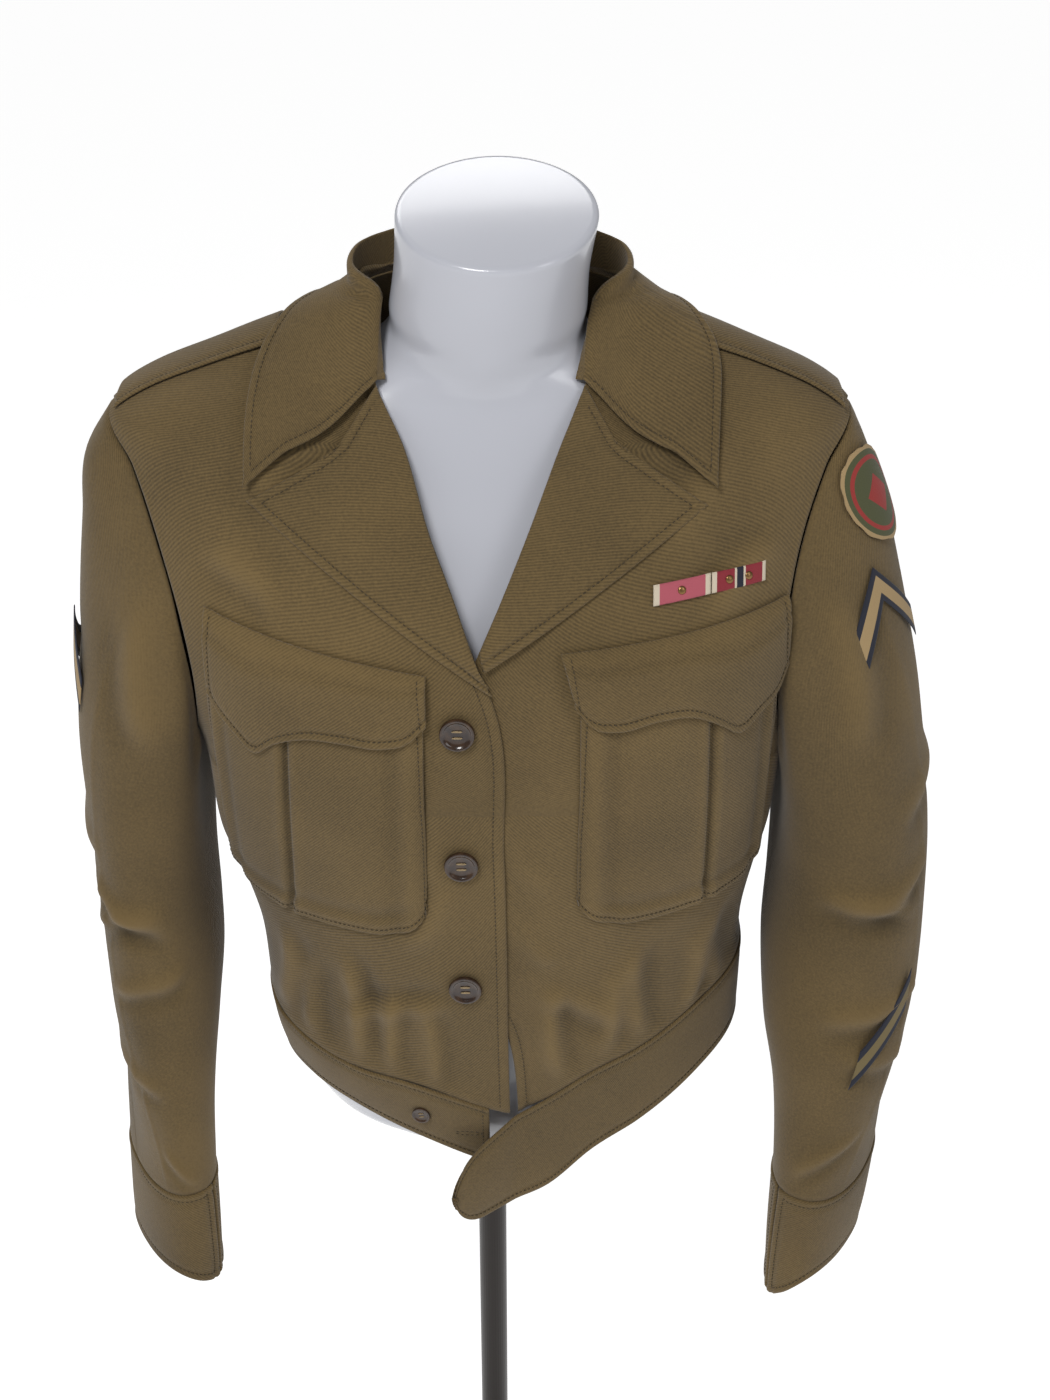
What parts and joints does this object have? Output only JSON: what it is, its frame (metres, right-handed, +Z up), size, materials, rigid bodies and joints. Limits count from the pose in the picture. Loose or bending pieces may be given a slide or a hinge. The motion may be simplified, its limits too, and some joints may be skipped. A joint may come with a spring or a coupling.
{
  "type": "ike jacket on a dress form",
  "caption": "Waist-length wool field jacket with notched lapels, bellows pockets and an open waistband tab, worn by a limbless dress form on a pole stand.",
  "frame": {"origin": "centre of the underside of the stand's base plate", "axes": "+Z up the pole, -Y the way the chest faces, +X the wearer's left"},
  "size_m": [0.5767, 0.3, 1.2913],
  "materials": {
    "wool": "matte twill",
    "horn_button": "polished",
    "ribbon_rose": "corded silk",
    "ribbon_crimson": "corded silk",
    "patch_felt": "embroidered",
    "chevron_cloth": "felt",
    "form_shell": "semi-gloss",
    "dark_steel": "satin"
  },
  "bodies": {
    "root": {"back": "wool", "front_right": "wool", "front_left": "wool", "lapel_right": "wool", "lapel_left": "wool", "sleeve_right": "wool", "sleeve_left": "wool", "cuff_right": "wool", "cuff_left": "wool", "pocket_right": "wool", "pocket_left": "wool", "flap_right": "wool", "flap_left": "wool", "shoulder_loop_right": "wool", "shoulder_loop_left": "wool", "collar": "wool", "waistband_back": "wool", "waistband_right": "wool", "waistband_left": "wool", "button_1": "horn_button", "button_2": "horn_button", "button_3": "horn_button", "waistband_button": "horn_button", "ribbon_bar_1": "ribbon_rose", "ribbon_bar_2": "ribbon_crimson", "shoulder_patch": "patch_felt", "chevron_left": "chevron_cloth", "chevron_right": "chevron_cloth", "service_stripe": "chevron_cloth", "form": "form_shell", "stand_pole": "dark_steel", "stand_base": "dark_steel"}
  },
  "joints": []
}
